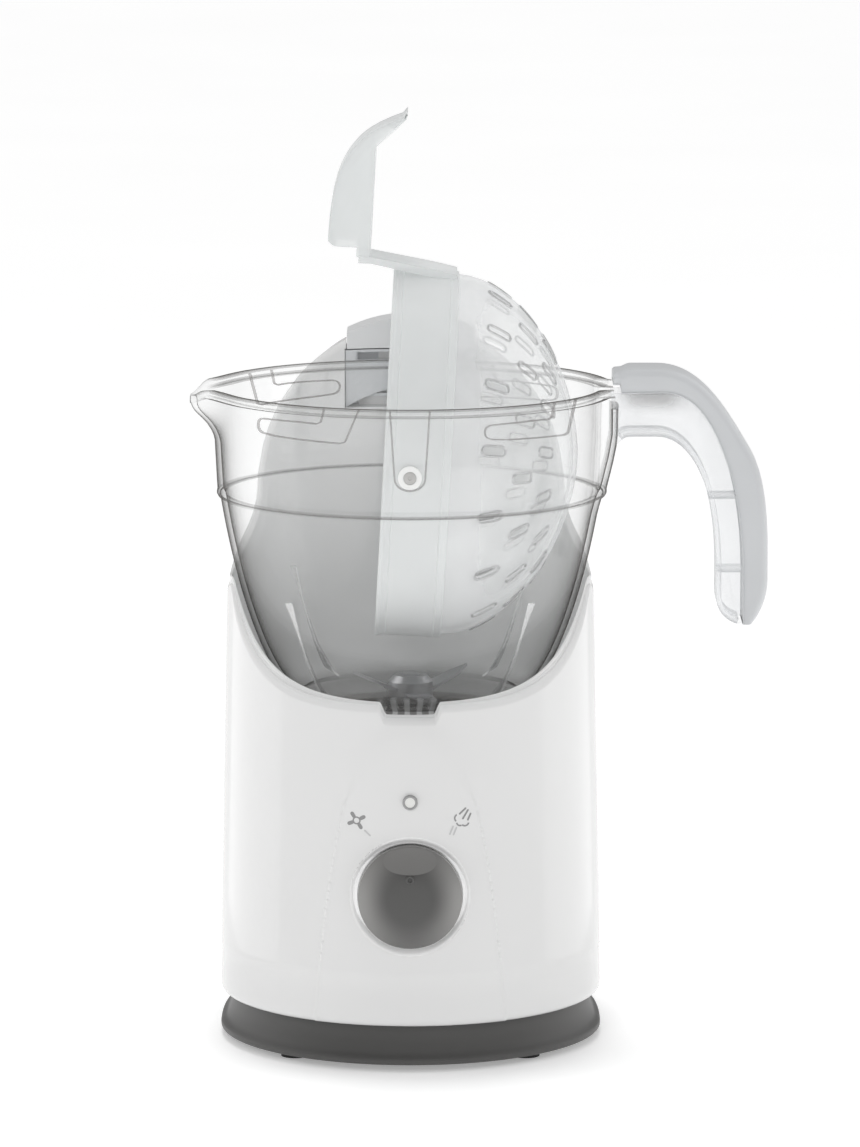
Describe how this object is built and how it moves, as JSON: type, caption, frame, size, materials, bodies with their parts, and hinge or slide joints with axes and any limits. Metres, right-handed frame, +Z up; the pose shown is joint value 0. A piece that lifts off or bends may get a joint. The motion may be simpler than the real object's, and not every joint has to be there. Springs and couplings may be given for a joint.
{
  "type": "baby food maker",
  "caption": "Countertop steam cooker and blender with a clear spouted jug, a steam basket that tips out on its lever, a rear water tank and a front knob.",
  "frame": {"origin": "on the worktop, on the axis of the jug and the motor", "axes": "+X towards the jug's handle, +Y towards the rear tower with the water tank, +Z up"},
  "size_m": [0.245, 0.2048, 0.3967],
  "materials": {
    "white_shell": "glossy",
    "dark_satin": "satin",
    "pale_grey": "satin",
    "clear_jug": "clear, glossy",
    "clear_basket": "clear, slightly milky",
    "frosted": "frosted",
    "black_rubber": "matte",
    "steel": "brushed",
    "cast_alloy": "as cast",
    "copper_parts": "plain",
    "inner_white": "matte",
    "board_green": "satin",
    "lamp_lens": "clear"
  },
  "bodies": {
    "base": {"housing": "white_shell", "base_tray": "dark_satin", "feet": "black_rubber", "tray_screws": "steel", "jug_seat": "dark_satin", "motor_bracket": "cast_alloy", "field_core": "steel", "field_windings": "copper_parts", "motor_bearings": "copper_parts", "brush_holders": "inner_white", "carbon_brushes": "dark_satin", "control_board": "board_green", "rotary_switch": "dark_satin", "status_lamp": "inner_white", "status_lens": "lamp_lens", "water_tank": "clear_basket", "boiler_cup": "cast_alloy", "boiler_cover": "inner_white", "heater_ring": "steel", "thermostat": "dark_satin", "feed_tube": "inner_white", "steam_tube": "inner_white", "steam_outlet": "pale_grey", "cord_gland": "black_rubber"},
    "knob": {"knob": "dark_satin"},
    "rotor": {"armature": "steel", "commutator": "copper_parts", "motor_shaft": "steel", "cooling_fan": "inner_white", "drive_coupling": "dark_satin"},
    "tank_lid": {"tank_lid": "pale_grey"},
    "jug": {"jug": "clear_jug", "handle_cover": "pale_grey", "blade_bush": "dark_satin", "bush_nut": "dark_satin", "shaft_seal": "black_rubber"},
    "blade": {"blade_shaft": "steel", "blades": "steel", "driven_coupling": "dark_satin"},
    "shoes": {"pivot_shoes": "frosted"},
    "basket": {"basket_band": "frosted", "basket_dome": "clear_basket", "basket_lever": "frosted"}
  },
  "joints": [
    {"name": "knob_turn", "type": "hinge", "parent": "base", "child": "knob", "pos_m": [0, -0.08, 0.075], "axis": [0, 1, 0], "range_deg": [-35, 35]},
    {"name": "rotor_spin", "type": "hinge", "parent": "base", "child": "rotor", "pos_m": [0, 0, 0.07], "axis": [0, 0, 1], "continuous": true},
    {"name": "tank_lid_lift", "type": "slide", "parent": "base", "child": "tank_lid", "axis": [0, 0, 1], "range_m": [0, 0.03]},
    {"name": "jug_lift", "type": "slide", "parent": "base", "child": "jug", "axis": [0, 0, 1], "range_m": [0, 0.17]},
    {"name": "blade_spin", "type": "hinge", "parent": "jug", "child": "blade", "pos_m": [0, 0, 0.14], "axis": [0, 0, 1], "continuous": true},
    {"name": "shoe_lift", "type": "slide", "parent": "jug", "child": "shoes", "axis": [0, 0, 1], "range_m": [0, 0.06]},
    {"name": "basket_tip", "type": "hinge", "parent": "shoes", "child": "basket", "pos_m": [0, 0, 0.251], "axis": [0, 1, 0], "range_deg": [0, 86.9]}
  ],
  "couplings": [
    {"joint": "blade_spin", "follows": "rotor_spin", "ratio": 1}
  ]
}
